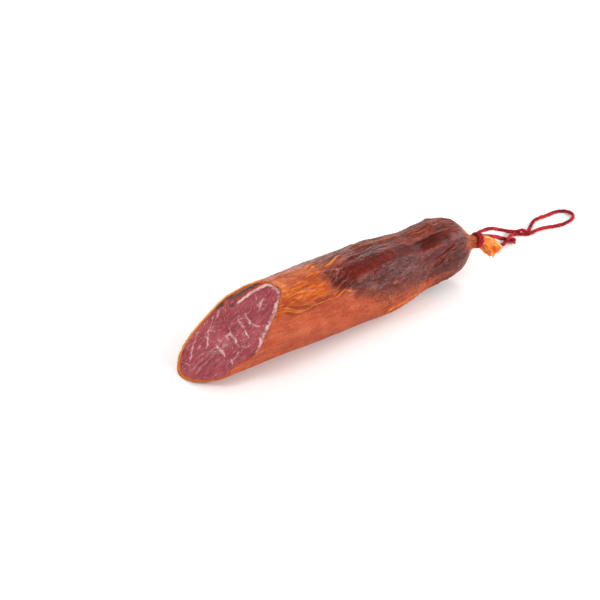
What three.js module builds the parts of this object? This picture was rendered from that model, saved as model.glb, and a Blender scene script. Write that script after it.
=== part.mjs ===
// Half a cured pork loin in its gut casing, cut on the bias at one end and tied
// with twine at the other. Millimetres, +Z up, +X from the cut end to the tied end.
import * as THREE from 'three';

// ---- driving dimensions ----
const wall = 1.2;                 // gut casing with its paprika crust
const gap = 0.3;                  // between casing and meat
const around = 40;                // points round one section
const twine = 2.8;                // cotton twine diameter

// Sections along the loin: x, half width, half height, centre y, centre z.
const sections = [
  [-162, 28.3, 27.0, 0, 26.6],
  [-102, 28.6, 27.4, 0, 26.9],
  [-52, 30.0, 28.0, 0, 27.5],
  [-2, 31.0, 28.0, 0, 27.5],
  [28, 30.0, 28.0, -1, 27.5],
  [54, 26.5, 26.0, 0, 26.8],
  [70, 23.0, 24.3, 1.5, 27.0],
  [90, 22.8, 25.0, 1.5, 28.5],
  [108, 20.8, 22.5, 1, 28.5],
  [119, 13.0, 14.0, -1, 28.2],
  [126, 6.2, 6.4, -3, 27.0],
  [131, 4.4, 4.4, -3, 25.7],
];

// Fuller and leaner sides of the muscle: height, angle, spread in degrees, and the
// stretch of x over which the swelling dies away.
const swellings = [
  [5.0, 180, 13, -92, -12],       // ridge down the front
  [2.0, 213, 9, -92, -12],        // corner under the front
  [3.3, 325, 34, -102, 8],        // full back underside
  [1.5, 20, 10, -72, 28],
  [1.2, 110, 12, -72, 28],
  [1.8, 232, 40, -32, -92],       // belly of the far part
  [4.5, 60, 35, -110, -55],       // full shoulder behind the cut
  [-2.4, 250, 30, -150, -122],    // thin tip, lifted a little as it dried
];

// The bias cut: x = cutX + cutLean * (z - cutZ) + cutSkew * y
const cutX = -108, cutLean = 1.445, cutZ = 27, cutSkew = -0.05;

const meatEnd = 107;              // where the rounded end of the meat starts
const meatDome = 9;               // length of that rounded end

// Casing past the meat, gathered under the twine and pleated beyond it: centre x, y, z,
// droop in degrees, half width, half height, depth of the pleats.
const tail = [
  [133.0, -3.0, 25.1, 15, 3.5, 3.5, 0.12],
  [139.2, -3.0, 23.4, 18, 3.5, 3.5, 0.12],
  [141.4, -3.5, 22.1, 30, 4.4, 4.2, 0.3],
  [144.0, -4.6, 20.0, 40, 5.8, 5.0, 0.6],
  [147.2, -6.0, 17.3, 46, 6.6, 5.4, 0.9],
  [150.0, -7.1, 14.6, 48, 6.4, 4.6, 1.1],
  [151.5, -7.7, 13.1, 50, 5.0, 3.4, 0.9],
];

// Twine round the neck: first and last centre, tilt, turns, and angle of its end.
const tieFrom = [133.7, -3, 24.95], tieTo = [138.3, -3, 23.65];
const tieTilt = 16, tieTurns = 1.6, tieEnd = 85;
const tieRadius = 3.62 + gap + twine / 2;

// Route of the hanging loop: off the neck, down to the floor, out and round, back
// beside itself, and over the other strand to its cut end.
const floor = twine / 2 + 0.15;
const loopRoute = [
  [139.9, -1.9, 28.7], [140.8, -0.4, 28.5], [143.6, 0.6, 28.0], [148.4, 2.0, 26.9],
  [155.4, 4.8, 24.6],
  [165.5, 9.7, 19.4], [179.2, 17.6, 10.6], [188.8, 21.6, 4.6], [194.3, 21.0, 2.0],
  [199.6, 17.0, floor], [201.6, 14.2, 2.6], [202.6, 11.9, 4.5], [205.2, 10.6, 3.4],
  [208.6, 10.3, floor], [213.2, 12.8, floor], [219.2, 16.8, floor], [227.0, 20.8, floor],
  [234.0, 21.3, floor], [243.0, 20.8, floor], [252.0, 20.9, floor], [258.0, 18.6, floor],
  [261.2, 14.0, floor], [260.9, 8.6, floor], [256.6, 4.2, floor], [249.4, 1.6, floor],
  [241.0, 1.4, floor], [233.0, 3.4, floor], [224.6, 6.2, floor], [216.4, 7.4, floor],
  [210.2, 6.6, floor], [205.4, 7.4, floor], [201.4, 10.6, floor], [198.0, 13.4, floor],
  [194.2, 13.6, 2.0], [189.8, 10.9, 4.0], [186.3, 8.6, 4.9], [182.4, 6.9, 4.2],
  [178.2, 6.4, 2.2], [173.4, 6.5, floor],
];

// Route of the other strand, from the neck to its knot.
const strandRoute = [
  [139.9, 2.7, 23.5], [144.6, 4.2, 22.4], [151.6, 2.9, 19.8], [158.1, 5.0, 16.6],
  [165.4, 7.9, 12.6], [172.7, 10.5, 8.4], [179.2, 12.2, 4.2], [185.4, 10.8, floor],
  [186.5, 8.1, floor],
];
const knotAt = [187.0, 4.9, 2.55], knotSize = [2.6, 2.5, 2.3];

// ---- shape of the loin ----
const deg = Math.PI / 180;

// Value at x of one column of the sections, smooth and without overshoot.
function along(x, column) {
  const last = sections.length - 2;
  let k = 0;
  while (k < last && x > sections[k + 1][0]) k++;
  const slope = (i) => (sections[i + 1][column] - sections[i][column])
    / (sections[i + 1][0] - sections[i][0]);
  const tangent = (i) => {
    if (i === 0) return slope(0);
    if (i > last) return slope(last);
    const a = slope(i - 1), b = slope(i);
    return a * b <= 0 ? 0 : 2 * a * b / (a + b);
  };
  const w = sections[k + 1][0] - sections[k][0];
  const t = THREE.MathUtils.clamp((x - sections[k][0]) / w, 0, 1);
  const t2 = t * t, t3 = t2 * t;
  return (2 * t3 - 3 * t2 + 1) * sections[k][column] + (t3 - 2 * t2 + t) * w * tangent(k)
    + (3 * t2 - 2 * t3) * sections[k + 1][column] + (t3 - t2) * w * tangent(k + 1);
}

// Point of the section at x and angle a, moved in by `inset`; its lowest strip is
// pressed flat where the loin lies.
function skin(x, a, inset, shrink = 1) {
  let r = 1 / Math.hypot(Math.cos(a) / along(x, 1), Math.sin(a) / along(x, 2));
  for (const [height, angle, spread, from, to] of swellings) {
    const d = ((a / deg - angle + 540) % 360) - 180;
    r += height * Math.exp(-(d * d) / (spread * spread)) * fade(x, from, to);
  }
  r = (r - inset) * shrink;
  const z = along(x, 4) + r * Math.sin(a);
  return new THREE.Vector3(x, along(x, 3) + r * Math.cos(a), Math.max(z, inset));
}

function fade(x, from, to) {
  const t = THREE.MathUtils.clamp((to - x) / (to - from), 0, 1);
  return t * t * (3 - 2 * t);
}

// Where the side at angle a meets the cut.
function cutAt(a, inset) {
  let x = cutX;
  for (let i = 0; i < 60; i++) {
    const p = skin(x, a, inset);
    x = 0.6 * x + 0.4 * (cutX + cutLean * (p.z - cutZ) + cutSkew * p.y);
  }
  return x;
}

const angles = Array.from({ length: around }, (_, i) => 2 * Math.PI * i / around);

// Ring a share s of the way from the cut to x = end.
const ring = (s, inset, end) => angles.map((a) => {
  const x = cutAt(a, inset);
  return skin(x + (end - x) * s, a, inset);
});

// Rings of the rounded end of the meat, and of the hollow round it.
const dome = (inset, length) => [22, 44, 64, 80].map((t) => angles.map((a) => {
  const p = skin(meatEnd, a, inset, Math.cos(t * deg));
  p.x = meatEnd + length * Math.sin(t * deg);
  return p;
}));

const shares = [0, 0.06, 0.13, 0.2, 0.28, 0.36, 0.44, 0.52, 0.6, 0.67, 0.74, 0.8, 0.86, 0.91, 0.955, 1];

// Closed surface over a run of rings, with a single point at each end. Each quad is
// split along its shorter diagonal.
function loft(rings) {
  const middle = (ringOf) => ringOf
    .reduce((sum, p) => sum.add(p), new THREE.Vector3()).divideScalar(ringOf.length);
  const points = [middle(rings[0]), ...rings.flat(), middle(rings.at(-1))];
  const index = [];
  const at = (r, i) => 1 + r * around + (i % around);
  const end = points.length - 1;
  for (let i = 0; i < around; i++) {
    index.push(0, at(0, i + 1), at(0, i));
    for (let r = 0; r + 1 < rings.length; r++) {
      const [a, b, c, d] = [at(r, i), at(r, i + 1), at(r + 1, i + 1), at(r + 1, i)];
      if (points[a].distanceTo(points[c]) < points[b].distanceTo(points[d])) {
        index.push(a, b, c, a, c, d);
      } else {
        index.push(a, b, d, b, c, d);
      }
    }
    index.push(at(rings.length - 1, i), at(rings.length - 1, i + 1), end);
  }
  const geometry = new THREE.BufferGeometry().setFromPoints(points);
  geometry.setIndex(index);
  geometry.computeVertexNormals();
  return geometry;
}

// ---- meat: cut face, body, rounded end ----
const rim = ring(0, wall + gap, meatEnd);
const faceCentre = rim
  .reduce((sum, p) => sum.add(p), new THREE.Vector3()).divideScalar(around);
const faceRings = [0.35, 0.7].map((t) => rim.map((p) => p.clone().lerp(faceCentre, 1 - t)));
const meat = loft([
  ...faceRings,
  ...shares.map((s) => ring(s, wall + gap, meatEnd)),
  ...dome(wall + gap, meatDome),
]);

// ---- casing: hollow from its inner end out to the cut, over the rim, back along
// the outside to the neck, and on into the pleated tail ----
const tailRing = ([x, y, z, droop, halfWidth, halfHeight, pleat]) => angles.map((a) => {
  const r = 1 + (pleat / halfWidth) * Math.cos(10 * a);
  const side = halfWidth * r * Math.cos(a), up = halfHeight * r * Math.sin(a);
  return new THREE.Vector3(
    x + up * Math.sin(droop * deg), y + side, z + up * Math.cos(droop * deg));
});
const neck = [110, 113, 116, 119, 122, 125, 128, 131];
const casing = loft([
  ...dome(wall, meatDome + 0.8).reverse(),
  ...shares.map((s) => ring(s, wall, meatEnd)).reverse(),
  ...shares.map((s) => ring(s, 0, 108)),
  ...neck.map((x) => angles.map((a) => skin(x, a, 0))),
  ...tail.map(tailRing),
]);

// ---- twine ----
const roundSection = new THREE.Shape(
  new THREE.EllipseCurve(0, 0, twine / 2, twine / 2).getPoints(8).slice(0, 8));

const tube = (path, steps) => new THREE.ExtrudeGeometry(
  roundSection, { extrudePath: path, steps, bevelEnabled: false });

const through = (points) => new THREE.CatmullRomCurve3(
  points.map((p) => new THREE.Vector3(...p)), false, 'centripetal');

// Turns round the gathered neck, close together.
class Turns extends THREE.Curve {
  getPoint(t, target = new THREE.Vector3()) {
    const a = (tieEnd + 360 * tieTurns * (1 - t)) * deg;
    const up = tieRadius * Math.sin(a);
    target.set(...tieFrom).lerp(new THREE.Vector3(...tieTo), t);
    target.x += up * Math.sin(tieTilt * deg);
    target.y += tieRadius * Math.cos(a);
    target.z += up * Math.cos(tieTilt * deg);
    return target;
  }
}

const knot = new THREE.SphereGeometry(1, 12, 8).scale(...knotSize).translate(...knotAt);

// ---- assembly ----
const leanMeat = new THREE.MeshStandardMaterial({ color: 0x9b3f48, roughness: 0.5, metalness: 0 });
const gut = new THREE.MeshStandardMaterial({ color: 0x9c4222, roughness: 0.4, metalness: 0 });
const redCotton = new THREE.MeshStandardMaterial({ color: 0x9c2f35, roughness: 0.85, metalness: 0 });

const group = new THREE.Group();
const add = (name, geometry, material) => {
  const mesh = new THREE.Mesh(geometry, material.clone());
  mesh.name = name;
  group.add(mesh);
};
add('cured_loin', meat, leanMeat);
add('casing', casing, gut);
add('neck_tie', tube(new Turns(), 32), redCotton);
add('hanging_loop', tube(through(loopRoute), 80), redCotton);
add('lower_strand', tube(through(strandRoute), 24), redCotton);
add('strand_knot', knot, redCotton);

// The origin is on the floor under the middle of the casing.
casing.computeBoundingBox();
const middle = casing.boundingBox.getCenter(new THREE.Vector3());
group.position.set(-middle.x, -middle.y, 0);

export default group;
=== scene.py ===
import math

import bpy
import numpy as np
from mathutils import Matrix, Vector


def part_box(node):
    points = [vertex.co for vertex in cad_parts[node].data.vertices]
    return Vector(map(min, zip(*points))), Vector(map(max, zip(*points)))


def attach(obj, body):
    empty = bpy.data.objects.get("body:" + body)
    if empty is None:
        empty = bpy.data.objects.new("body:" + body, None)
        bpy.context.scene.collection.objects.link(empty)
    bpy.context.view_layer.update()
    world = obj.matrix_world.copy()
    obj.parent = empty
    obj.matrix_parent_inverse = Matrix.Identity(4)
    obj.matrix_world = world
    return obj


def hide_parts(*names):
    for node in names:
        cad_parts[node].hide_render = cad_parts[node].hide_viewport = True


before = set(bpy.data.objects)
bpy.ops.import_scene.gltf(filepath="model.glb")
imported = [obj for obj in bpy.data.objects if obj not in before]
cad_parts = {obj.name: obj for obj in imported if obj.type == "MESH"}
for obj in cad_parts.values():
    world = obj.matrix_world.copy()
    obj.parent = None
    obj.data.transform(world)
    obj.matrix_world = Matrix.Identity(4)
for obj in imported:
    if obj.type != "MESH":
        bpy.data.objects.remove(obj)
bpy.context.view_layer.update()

deg = math.pi / 180


def hexToLinear(code):
    parts = [int(code[i:i + 2], 16) / 255 for i in (1, 3, 5)]
    return tuple(c / 12.92 if c <= 0.04045 else ((c + 0.055) / 1.055) ** 2.4 for c in parts) + (1.0,)


# adds a node, sets or links its inputs, and gives back one of its outputs
def addNode(tree, kind, inputs=None, output=0, **settings):
    node = tree.nodes.new(kind)
    for key, value in settings.items():
        setattr(node, key, value)
    for key, value in (inputs or {}).items():
        if isinstance(value, bpy.types.NodeSocket):
            tree.links.new(value, node.inputs[key])
        else:
            node.inputs[key].default_value = value
    return node.outputs[output] if node.outputs else node


# The loin in millimetres, in its own layout; toRow moves it onto the CAD box.
loin = {
    # x, half width, half height, centre y, centre z
    "sections": [
        [-162, 28.3, 27.0, 0, 26.6], [-102, 28.6, 27.4, 0, 26.9], [-52, 30.0, 28.0, 0, 27.5],
        [-2, 31.0, 28.0, 0, 27.5], [28, 30.0, 28.0, -1, 27.5], [54, 26.5, 26.0, 0, 26.8],
        [70, 23.0, 24.3, 1.5, 27.0], [90, 22.8, 25.0, 1.5, 28.5], [108, 20.8, 22.5, 1, 28.5],
        [119, 13.0, 14.0, -1, 28.2], [126, 6.2, 6.4, -3, 27.0], [131, 4.4, 4.4, -3, 25.7],
    ],
    # height, angle, spread, and the stretch of x over which it dies away
    "swellings": [
        [5.0, 180, 13, -92, -12], [2.0, 213, 9, -92, -12], [3.3, 325, 34, -102, 8],
        [1.5, 20, 10, -72, 28], [1.2, 110, 12, -72, 28], [1.8, 232, 40, -32, -92],
        [4.5, 60, 35, -110, -55], [-2.4, 250, 30, -150, -122],
    ],
    # the cut: x and z of its middle, x gained for each mm up, and for each mm across
    "cutX": -108.0, "cutZ": 27.0, "cutLean": 1.445, "cutSkew": -0.05,
    # where the body turns into the neck, where the neck goes under the twine, and the usual radius
    "bodyEnd": 108.0, "neckEnd": 132.5, "usualRadius": 28.0,
    # the meat stops inside the neck with a rounded end
    "meatEnd": 107.0, "meatDome": 9.0,
    # gathered tail: centre x, y, z, droop, half width, half height, depth of the pleats
    "tail": [
        [133.0, -3.0, 25.1, 15, 3.5, 3.5, 0.3], [139.2, -3.0, 23.4, 18, 3.5, 3.5, 0.3],
        [141.4, -3.5, 22.1, 30, 4.4, 4.2, 0.6], [144.0, -4.6, 20.0, 40, 5.9, 5.2, 1.0],
        [147.2, -6.0, 17.3, 46, 6.9, 5.9, 1.4], [150.0, -7.1, 14.6, 48, 7.1, 6.0, 1.8],
        [151.8, -7.8, 12.9, 50, 7.0, 5.8, 2.1],
    ],
}
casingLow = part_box("casing")[0]


# one column of the sections at any x, on a smooth curve that never overshoots
def sectionValue(x, column):
    table = np.array(loin["sections"], float)
    xs, v = table[:, 0], table[:, column]
    slope = np.diff(v) / np.diff(xs)
    before, after = slope[:-1], slope[1:]
    inner = np.where(before * after <= 0, 0, 2 * before * after / (before + after + 1e-12))
    tangent = np.concatenate([slope[:1], inner, slope[-1:]])
    k = np.clip(np.searchsorted(xs, x, side="right") - 1, 0, len(xs) - 2)
    w = xs[k + 1] - xs[k]
    t = np.clip((x - xs[k]) / w, 0, 1)
    return ((2 * t**3 - 3 * t**2 + 1) * v[k] + (t**3 - 2 * t**2 + t) * w * tangent[k]
            + (3 * t**2 - 2 * t**3) * v[k + 1] + (t**3 - t**2) * w * tangent[k + 1])


def smooth(v, low, high):
    t = np.clip((v - low) / (high - low), 0, 1)
    return t * t * (3 - 2 * t)


# 1 on a stretch: fades in over the first two values and out over the last two
def between(v, low, full, fade, high):
    return smooth(v, low, full) * (1 - smooth(v, fade, high))


# how many degrees an angle is from another, from -180 to 180
def degreesFrom(a, angle):
    return (a / deg - angle + 540) % 360 - 180


# 1 in the middle of a patch of some half length and half width, squarer with a higher power
def spot(x, y, midX, midY, long, wide, power, lean):
    return np.exp(-((x - midX) / long) ** power - ((y - midY + lean * (x - midX)) / wide) ** power)


# the skin at a place along and round the loin, `proud` mm outside the plain section
def skinPoint(x, a, proud=0.0, floor=0.0, shrink=1.0):
    r = 1 / np.hypot(np.cos(a) / sectionValue(x, 1), np.sin(a) / sectionValue(x, 2))
    for height, angle, spread, start, stop in loin["swellings"]:
        bulge = np.exp(-(degreesFrom(a, angle) / spread) ** 2)
        r = r + height * bulge * smooth((stop - x) / (stop - start), 0, 1)
    r = (r + proud) * shrink
    z = sectionValue(x, 4) + r * np.sin(a)
    return np.stack([x, sectionValue(x, 3) + r * np.cos(a), np.maximum(z, floor)], -1)


# where the cut plane meets the skin, found by stepping towards it
def cutAt(a, proud=0.0, floor=0.0):
    x = np.full_like(a, loin["cutX"])
    for step in range(70):
        p = skinPoint(x, a, proud, floor)
        aim = loin["cutX"] + loin["cutLean"] * (p[:, 2] - loin["cutZ"]) + loin["cutSkew"] * p[:, 1]
        x = 0.6 * x + 0.4 * aim
    return x


# the casing's own box gives the shift from this layout to the row frame, on the CAD skin's own grid
gridAround, gridAlong = 40, 60
gridAngles = np.arange(gridAround) * 360 / gridAround * deg
gridEdge = skinPoint(cutAt(gridAngles), gridAngles)[:, :1]
gridX = (gridEdge + (loin["bodyEnd"] - gridEdge) * np.linspace(0, 1, gridAlong)).ravel()
plainLow = skinPoint(gridX, np.repeat(gridAngles, gridAlong)).min(0)
shift = np.array([casingLow.x * 1000 - plainLow[0], casingLow.y * 1000 - plainLow[1], 0.0])
print("layout shift in mm", shift.round(2))


def toRow(points):
    return (np.asarray(points, float) + shift) / 1000


# smooth random values on a grid of unit cells, always the same for one seed;
# three primes mix a cell's place into an index of the table
def cellNoise(p, seed):
    base = np.floor(p).astype(np.int64)
    f = p - base
    f = f * f * f * (f * (f * 6 - 15) + 10)
    tableSize = 8192
    table = np.random.default_rng(seed).random(tableSize) * 2 - 1
    out = np.zeros(len(p))
    for corner in range(8):
        step = np.array([corner & 1, corner >> 1 & 1, corner >> 2 & 1])
        key = (base + step) * np.array([73856093, 19349663, 83492791])
        pick = (key[:, 0] ^ key[:, 1] ^ key[:, 2]) & (tableSize - 1)
        out += np.where(step, f, 1 - f).prod(1) * table[pick]
    return out


# place on the skin in cells of along x across millimetres, without a seam round the loin
def skinCells(x, a, along, across, drift=0.0):
    r = loin["usualRadius"] / across
    return np.stack([x / along, r * np.cos(a + drift), r * np.sin(a + drift)], -1)


def skinNoise(seed, x, a, along, across, drift=0.0):
    return cellNoise(skinCells(x, a, along, across, drift), seed)


# the same noise folded into narrow ridges
def ridged(p, seed, sharp):
    return (1 - np.abs(cellNoise(p, seed)) * 1.6).clip(0, 1) ** sharp


# distance to a line, which side of it, and how far along it
def fromLine(x, y, line, scaleY=1.0):
    pts = np.array(line, float) * [1, scaleY]
    best, side, share = np.full(len(x), 1e9), np.zeros(len(x)), np.zeros(len(x))
    lengths = np.hypot(*np.diff(pts, axis=0).T)
    done = 0.0
    for p, q, length in zip(pts[:-1], pts[1:], lengths):
        d = (q - p) / length
        t = np.clip((x - p[0]) * d[0] + (y - p[1]) * d[1], 0, length)
        ox, oy = x - p[0] - t * d[0], y - p[1] - t * d[1]
        dist = np.hypot(ox, oy)
        near = dist < best
        best = np.where(near, dist, best)
        side = np.where(near, np.sign(oy * d[0] - ox * d[1]), side)
        share = np.where(near, (done + t) / lengths.sum(), share)
        done += length
    return best, side, share


# centripetal curve through the points, sampled every `step` mm
def throughPoints(points, step=0.5):
    p = np.array(points, float)
    p = np.concatenate([[2 * p[0] - p[1]], p, [2 * p[-1] - p[-2]]])
    out = []
    for a, b, c, d in zip(p, p[1:], p[2:], p[3:]):
        t0 = 0.0
        t1 = t0 + np.linalg.norm(b - a) ** 0.5
        t2 = t1 + np.linalg.norm(c - b) ** 0.5
        t3 = t2 + np.linalg.norm(d - c) ** 0.5
        t = np.linspace(t1, t2, max(2, int(np.linalg.norm(c - b) / step)), endpoint=False)[:, None]
        ab = (t1 - t) / (t1 - t0) * a + (t - t0) / (t1 - t0) * b
        bc = (t2 - t) / (t2 - t1) * b + (t - t1) / (t2 - t1) * c
        cd = (t3 - t) / (t3 - t2) * c + (t - t2) / (t3 - t2) * d
        abc = (t2 - t) / (t2 - t0) * ab + (t - t0) / (t2 - t0) * bc
        bcd = (t3 - t) / (t3 - t1) * bc + (t - t1) / (t3 - t1) * cd
        out.append((t2 - t) / (t2 - t1) * abc + (t - t1) / (t2 - t1) * bcd)
    return np.concatenate([*out, [p[-2]]])


def addObject(name, data):
    made = bpy.data.objects.new(name, data)
    bpy.context.scene.collection.objects.link(made)
    return made


# a smooth mesh with its attributes: one number or one vector for each point
def meshFrom(name, points, faces, attributes, material):
    mesh = bpy.data.meshes.new(name)
    mesh.from_pydata(points.tolist(), [], faces)
    for title, values in attributes.items():
        kind, field = ("FLOAT", "value") if values.ndim == 1 else ("FLOAT_VECTOR", "vector")
        layer = mesh.attributes.new(title, kind, "POINT")
        layer.data.foreach_set(field, values.astype(np.float32).ravel())
    mesh.materials.append(material)
    mesh.polygons.foreach_set("use_smooth", [True] * len(mesh.polygons))
    mesh.update()
    return addObject(name, mesh)


# closed surface over rings of equal size, with one point at each end
def loftFaces(rows, around):
    i = np.arange(around)
    j = (i + 1) % around
    faces = [[0, 1 + int(b), 1 + int(a)] for a, b in zip(i, j)]
    for r in range(rows - 1):
        p, q = 1 + r * around, 1 + (r + 1) * around
        faces += np.stack([p + i, p + j, q + j, q + i], -1).tolist()
    last, end = 1 + (rows - 1) * around, 1 + rows * around
    return faces + [[last + int(a), last + int(b), end] for a, b in zip(i, j)]


def newMaterial(name):
    material = bpy.data.materials.new(name)
    material.use_nodes = True
    material.node_tree.nodes.clear()
    return material, material.node_tree


# lays tints over a base colour: (where, from, to, strength, hex or colour)
def layTints(tree, colour, tints):
    colour = hexToLinear(colour) if isinstance(colour, str) else colour
    for where, low, high, strength, tone in tints:
        share = addNode(tree, "ShaderNodeMapRange", {0: where, 1: low, 2: high, 4: strength},
                        interpolation_type="SMOOTHSTEP")
        tone = hexToLinear(tone) if isinstance(tone, str) else tone
        colour = addNode(tree, "ShaderNodeMix", {0: share, 6: colour, 7: tone}, 2, data_type="RGBA")
    return colour


# Camera first, then the twine, before the slower pieces are shaped.
studio = {
    "azimuth": -37.0, "elevation": 32.0, "distance": 1.27, "lens": 100.0,
    "aim": (-42.0, 0.0, 32.0),
    "floorTone": "#FBFAF9", "floorSize": 14.0,
}


# puts a camera or a lamp at a distance from the aim, turned back towards it
def aimFrom(made, azimuth, elevation, distance, aim=(0, 0, 0)):
    az, el = azimuth * deg, elevation * deg
    towards = Vector((math.sin(az) * math.cos(el), -math.cos(az) * math.cos(el), math.sin(el)))
    made.location = Vector(aim) + towards * distance
    made.rotation_euler = towards.to_track_quat("Z", "Y").to_euler()


cameraData = bpy.data.cameras.new("studioCamera")
cameraData.lens = studio["lens"]
cameraData.clip_start, cameraData.clip_end = 0.05, 20
camera = addObject("studioCamera", cameraData)
aimFrom(camera, studio["azimuth"], studio["elevation"], studio["distance"], toRow(studio["aim"]))
bpy.context.scene.camera = camera
print("camera at", [round(c, 3) for c in camera.location])

# Soft red cotton twine of three loosely twisted plies, uneven and a little fuzzy.
twine = {
    "diameter": 2.8, "plies": 3, "plyRadius": 0.86, "layRadius": 0.70, "pitch": 9.0,
    # how the other lengths differ, in metres: the strand is looser, the knot tighter, the tie fuller
    "strandSizes": {"Seed": 5, "Ply Radius": 0.001, "Lay Radius": 0.00078},
    "knotSizes": {"Seed": 7, "Pitch": 0.006, "Ply Radius": 0.00068, "Lay Radius": 0.00058},
    "tieSizes": {"Seed": 9, "Ply Radius": 0.0009},
    # routes in the layout, in mm
    "loop": [
        [139.9, -1.9, 28.7], [140.8, -0.4, 28.5], [143.6, 0.6, 28.0], [148.4, 2.0, 26.9],
        [155.4, 4.8, 24.6], [165.5, 9.7, 19.4], [179.2, 17.6, 10.6], [188.8, 21.6, 4.6],
        [194.3, 21.0, 2.0], [199.6, 17.0, 1.55], [201.6, 14.2, 2.6], [202.6, 11.9, 4.5],
        [205.2, 10.6, 3.4], [208.6, 10.3, 1.55], [213.2, 12.8, 1.55], [219.2, 16.8, 1.55],
        [227.0, 20.8, 1.55], [234.0, 21.3, 1.55], [243.0, 20.8, 1.55], [252.0, 20.9, 1.55],
        [258.0, 18.6, 1.55], [261.2, 14.0, 1.55], [260.9, 8.6, 1.55], [256.6, 4.2, 1.55],
        [249.4, 1.6, 1.55], [241.0, 1.4, 1.55], [233.0, 3.4, 1.55], [224.6, 6.2, 1.55],
        [216.4, 7.4, 1.55], [210.2, 6.6, 1.55], [205.4, 7.4, 1.55], [201.4, 10.6, 1.55],
        [198.0, 13.4, 1.55], [194.2, 13.6, 2.0], [189.8, 10.9, 4.0], [186.3, 8.6, 4.9],
        [182.4, 6.9, 4.2], [178.2, 6.4, 2.2], [173.4, 6.5, 1.55],
    ],
    "strand": [
        [139.9, 2.7, 23.5], [144.6, 4.2, 22.4], [151.6, 2.9, 19.8], [158.1, 5.0, 16.6],
        [165.4, 7.9, 12.6], [172.7, 10.5, 8.4], [179.2, 12.2, 4.2], [185.4, 10.8, 1.55],
        [186.5, 8.1, 1.55],
    ],
    "knotAt": [187.0, 4.9, 2.5], "knotTurns": 1.75, "knotRadius": 1.25, "knotLength": 3.8,
    "tieFrom": [133.7, -3, 24.95], "tieTo": [138.3, -3, 23.65], "tieTilt": 16, "tieTurns": 1.6,
    "tieEnd": 85, "tieRadius": 5.32,
    "tableLift": 0.1,  # fibres stay this far above the table
}


def dyedCotton():
    # dyed cotton has a dull, fibrous face, paler where fibres stand up, with painted shade between the plies
    material, tree = newMaterial("dyedCottonTwine")
    place = addNode(tree, "ShaderNodeTexCoord", output="Object")
    plyPlace = addNode(tree, "ShaderNodeAttribute", output="Vector", attribute_name="plyPlace")
    # fibres about 0.1 mm thick lie along the ply, drawn at 0.3 mm so that they show
    fibrePlace = addNode(tree, "ShaderNodeMapping", {"Vector": plyPlace, "Scale": (0.4, 8.0, 1.0)})
    fibre = addNode(tree, "ShaderNodeTexNoise", {"Vector": fibrePlace, "Scale": 1.0, "Detail": 3.0})
    stain = addNode(tree, "ShaderNodeTexNoise", {"Vector": place, "Scale": 110.0, "Detail": 3.0})
    plyShade = addNode(tree, "ShaderNodeAttribute", output="Fac", attribute_name="plyShade")
    colour = layTints(tree, "#90121A", [
        (fibre, 0.32, 0.66, 1.0, "#CC2A34"),
        (stain, 0.54, 0.7, 0.6, "#6C1014"),
        # painted shade between the plies
        (plyShade, 0.45, 0.95, 0.7, "#5A0A10"),
    ])
    bump = addNode(tree, "ShaderNodeBump", {"Height": fibre, "Strength": 0.6, "Distance": 0.0003})
    shader = addNode(tree, "ShaderNodeBsdfPrincipled", {
        "Base Color": colour, "Roughness": 0.88, "Normal": bump, "Specular IOR Level": 0.2})
    addNode(tree, "ShaderNodeOutputMaterial", {0: shader})
    return material


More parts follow.
